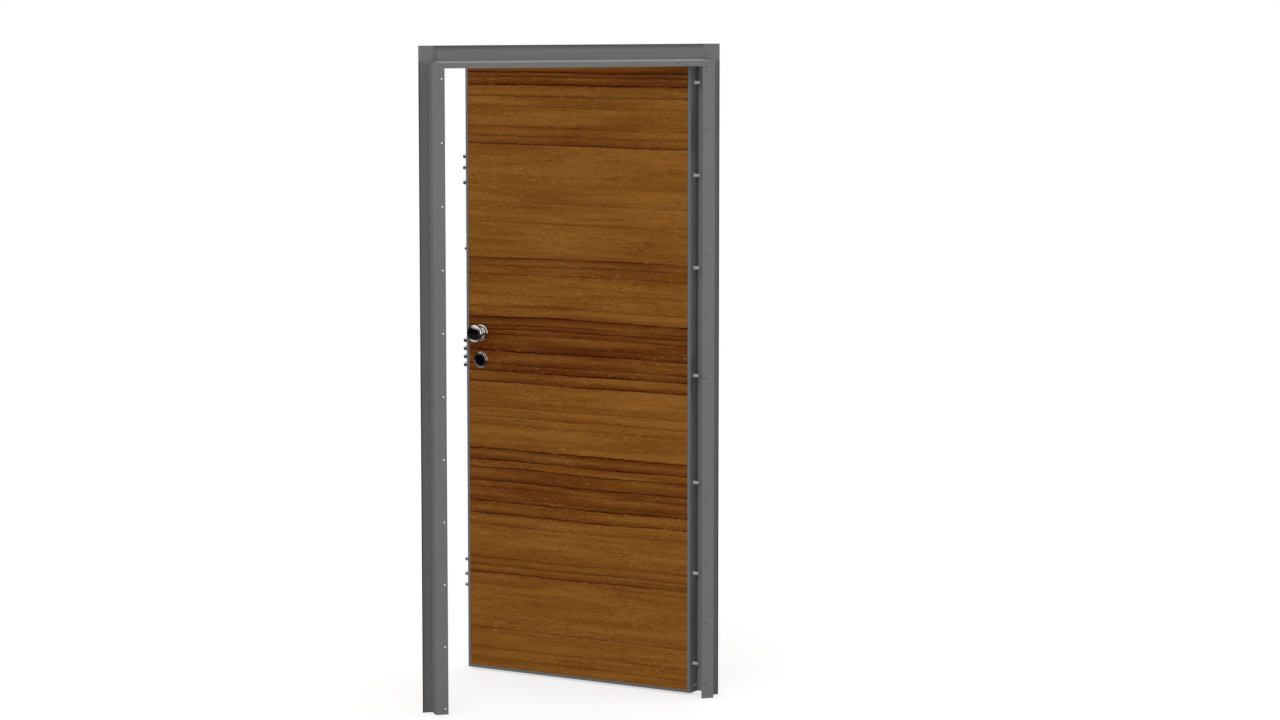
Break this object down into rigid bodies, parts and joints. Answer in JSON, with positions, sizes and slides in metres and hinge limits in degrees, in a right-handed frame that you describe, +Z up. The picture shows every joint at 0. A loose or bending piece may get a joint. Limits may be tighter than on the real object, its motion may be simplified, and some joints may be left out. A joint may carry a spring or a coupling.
{
  "type": "security door",
  "caption": "Steel security door with a wood-faced leaf standing open in a folded steel frame, with sliding lock bolts, dog pins, a fixed outer knob and an inner lever.",
  "frame": {"origin": "on the hinge jamb at floor level, in the middle of the flange that lies on the wall", "axes": "+X along the wall from the lock jamb to the hinge jamb, +Y through the wall into the building, +Z up"},
  "size_m": [1.014, 0.7639, 2.172],
  "materials": {
    "frame_steel": "satin grey powder coat",
    "leaf_steel": "satin grey powder coat",
    "veneer": "brown veneer with grain running across, satin",
    "bare_steel": "plain sheet steel, hidden inside",
    "rubber": "black rubber",
    "aluminium": "mill aluminium",
    "pale_plastic": "pale grey plastic",
    "brushed_steel": "brushed stainless steel",
    "hinge_steel": "satin grey powder coat",
    "bolt_chrome": "polished hard chrome",
    "furniture_chrome": "polished chrome",
    "black_gloss": "gloss black"
  },
  "bodies": {
    "frame": {"lock_jamb": "frame_steel", "hinge_jamb": "frame_steel", "head": "frame_steel", "lock_jamb_seal": "rubber", "hinge_jamb_seal": "rubber", "head_seal": "rubber", "pin_keep_strip": "frame_steel", "strike_plates": "brushed_steel", "upper_hinge_frame_half": "hinge_steel", "upper_hinge_pin": "bolt_chrome", "middle_hinge_frame_half": "hinge_steel", "middle_hinge_pin": "bolt_chrome", "lower_hinge_frame_half": "hinge_steel", "lower_hinge_pin": "bolt_chrome"},
    "leaf": {"leaf_core": "bare_steel", "inner_skin": "leaf_steel", "outer_panel": "veneer", "inner_panel": "veneer", "hinge_edge_profile": "leaf_steel", "lock_edge_profile": "leaf_steel", "top_edge_profile": "leaf_steel", "bottom_edge_profile": "leaf_steel", "drop_seal": "aluminium", "drop_seal_blade": "rubber", "drop_seal_button": "pale_plastic", "dog_pins": "bolt_chrome", "main_lock_case": "bare_steel", "main_faceplate": "brushed_steel", "upper_faceplate": "brushed_steel", "lower_faceplate": "brushed_steel", "single_faceplate": "brushed_steel", "upper_hinge_leaf_half": "hinge_steel", "middle_hinge_leaf_half": "hinge_steel", "lower_hinge_leaf_half": "hinge_steel", "knob_rosette": "furniture_chrome", "knob": "furniture_chrome", "defender_ring": "furniture_chrome", "defender_disc": "black_gloss", "handle_rose": "furniture_chrome", "lever_handle": "furniture_chrome", "thumbturn_rose": "furniture_chrome", "thumbturn": "furniture_chrome"},
    "main_bolts": {"main_bolts": "bolt_chrome"},
    "upper_bolts": {"upper_bolts": "bolt_chrome"},
    "lower_bolts": {"lower_bolts": "bolt_chrome"},
    "single_bolt": {"single_bolt": "bolt_chrome"}
  },
  "joints": [
    {"name": "leaf_swing", "type": "hinge", "parent": "frame", "child": "leaf", "pos_m": [-0.01, 0.021, 1.075], "axis": [0, 0, -1], "range_deg": [-47.47, 52.5]},
    {"name": "main_bolts_slide", "type": "slide", "parent": "leaf", "child": "main_bolts", "axis": [-0.676, 0.7369, 0], "range_m": [-0.022, 0.0055]},
    {"name": "upper_bolts_slide", "type": "slide", "parent": "leaf", "child": "upper_bolts", "axis": [-0.676, 0.7369, 0], "range_m": [-0.022, 0.0055]},
    {"name": "lower_bolts_slide", "type": "slide", "parent": "leaf", "child": "lower_bolts", "axis": [-0.676, 0.7369, 0], "range_m": [-0.022, 0.0055]},
    {"name": "single_bolt_slide", "type": "slide", "parent": "leaf", "child": "single_bolt", "axis": [-0.676, 0.7369, 0], "range_m": [-0.022, 0.0055]}
  ],
  "couplings": [
    {"joint": "upper_bolts_slide", "follows": "main_bolts_slide", "ratio": 1},
    {"joint": "lower_bolts_slide", "follows": "main_bolts_slide", "ratio": 1},
    {"joint": "single_bolt_slide", "follows": "main_bolts_slide", "ratio": 1}
  ]
}
